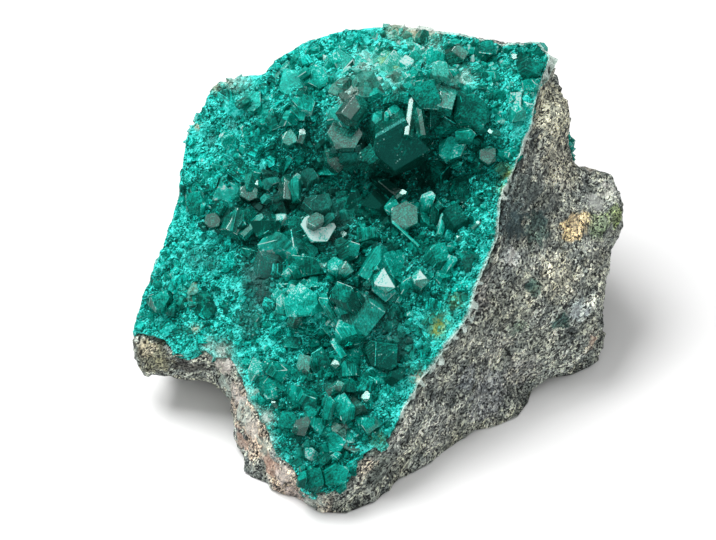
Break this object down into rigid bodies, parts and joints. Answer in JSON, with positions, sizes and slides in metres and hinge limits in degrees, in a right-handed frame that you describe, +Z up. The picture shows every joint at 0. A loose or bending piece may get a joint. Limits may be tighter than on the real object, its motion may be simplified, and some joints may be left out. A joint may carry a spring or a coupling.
{
  "type": "dioptase specimen",
  "caption": "Loose lump of granular host rock with one broad sloping face covered by a crust of deep green dioptase crystals, standing on a flat underside.",
  "frame": {"origin": "on the flat rest face, below the middle of the crystal-covered face", "axes": "+Z up from the rest face; -Y towards the viewer, the way the crystal-covered face leans; +X to its right"},
  "size_m": [0.0692, 0.0624, 0.0441],
  "materials": {
    "host_rock": "rough granular broken rock, grey and tan with dark specks and pale grains",
    "dioptase": "glassy deep green crystal with turquoise druse"
  },
  "bodies": {
    "root": {"host_rock": "host_rock", "dioptase_crust": "dioptase", "back_crystals": "dioptase"}
  },
  "joints": []
}
